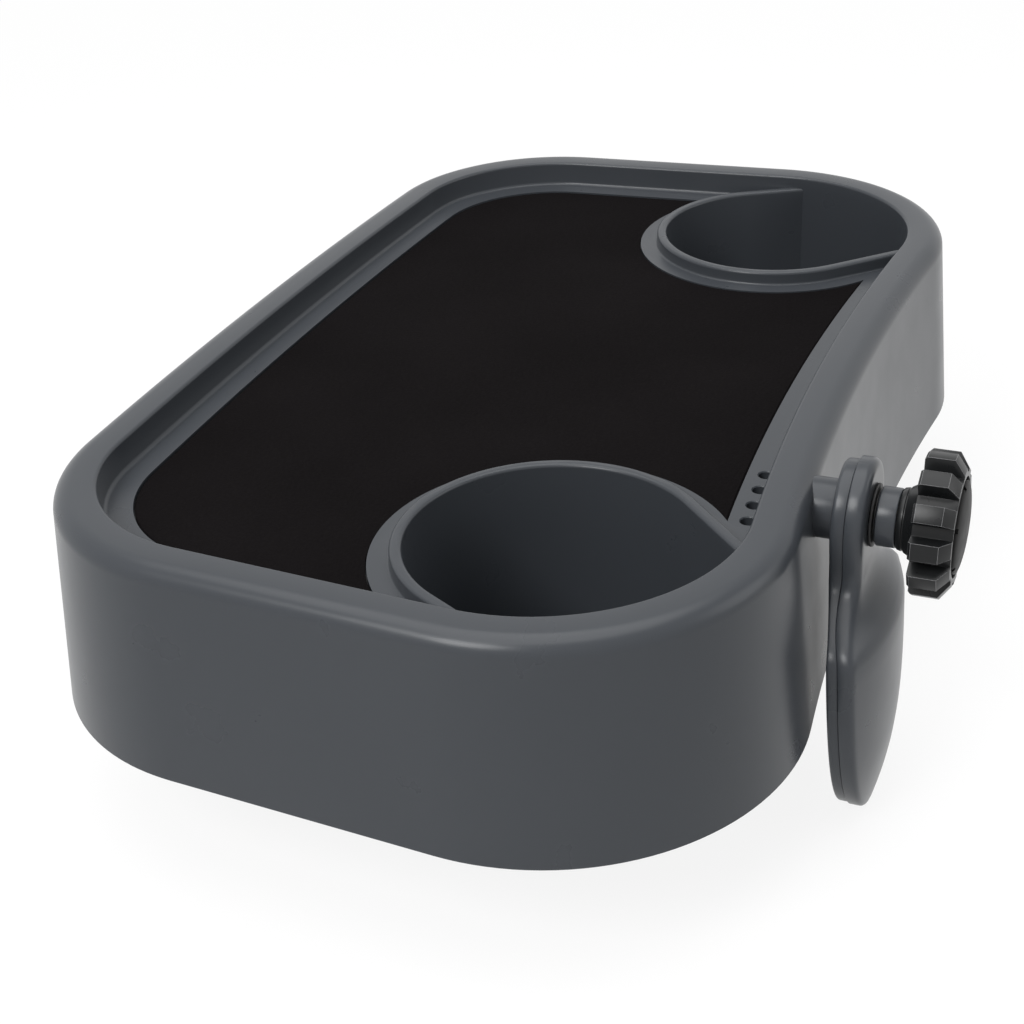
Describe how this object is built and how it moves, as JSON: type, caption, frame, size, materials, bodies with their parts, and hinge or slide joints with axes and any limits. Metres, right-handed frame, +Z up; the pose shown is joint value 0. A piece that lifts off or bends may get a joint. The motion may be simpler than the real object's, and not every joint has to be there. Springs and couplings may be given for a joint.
{
  "type": "hot_tub_tray",
  "caption": "Moulded hot tub side tray with sunken floor mat, cup wells at the front corners and a screw clamp with a paddle for the tub wall",
  "frame": {"origin": "the point where the stud axis crosses the outer face of the front wall", "axes": "+X along the length of the tray, +Y from the clamp to the back of the tray, +Z up"},
  "size_m": [0.4104, 0.2944, 0.1277],
  "materials": {
    "grey_shell": "dark grey moulded plastic, semi-gloss",
    "black_knob": "black moulded plastic, satin",
    "mat_rubber": "black, dull",
    "washer_rubber": "black, dull",
    "steel": "plain stainless",
    "brass": "turned"
  },
  "bodies": {
    "tray": {"tray_rim": "grey_shell", "tray_deck": "grey_shell", "cup_well_left": "grey_shell", "cup_well_right": "grey_shell", "floor_mat": "mat_rubber", "clamp_stud": "steel", "backing_plate": "steel", "boss_sleeve": "steel", "stud_clip": "steel", "plate_screw_1": "steel", "plate_screw_2": "steel"},
    "clamp_carriage": {"rubber_washer": "washer_rubber", "slip_washer": "black_knob"},
    "paddle": {"paddle_inner_half": "grey_shell", "paddle_outer_half": "grey_shell", "paddle_bush": "steel", "paddle_screw_1": "steel", "paddle_screw_2": "steel", "paddle_screw_3": "steel"},
    "knob": {"knob_collar": "grey_shell", "knob_insert": "brass", "knob_body": "black_knob", "knob_cap": "black_knob"}
  },
  "joints": [
    {"name": "clamp_travel", "type": "slide", "parent": "tray", "child": "clamp_carriage", "axis": [0, -1, 0], "range_m": [0, 0.014]},
    {"name": "paddle_swivel", "type": "hinge", "parent": "clamp_carriage", "child": "paddle", "pos_m": [0, -0.012, 0], "axis": [0, -1, 0], "continuous": true},
    {"name": "knob_turn", "type": "hinge", "parent": "clamp_carriage", "child": "knob", "pos_m": [0, -0.03, 0], "axis": [0, -1, 0], "range_deg": [0, 2520]}
  ],
  "couplings": [
    {"joint": "knob_turn", "follows": "clamp_travel", "rad_per_m": 3141.6}
  ]
}
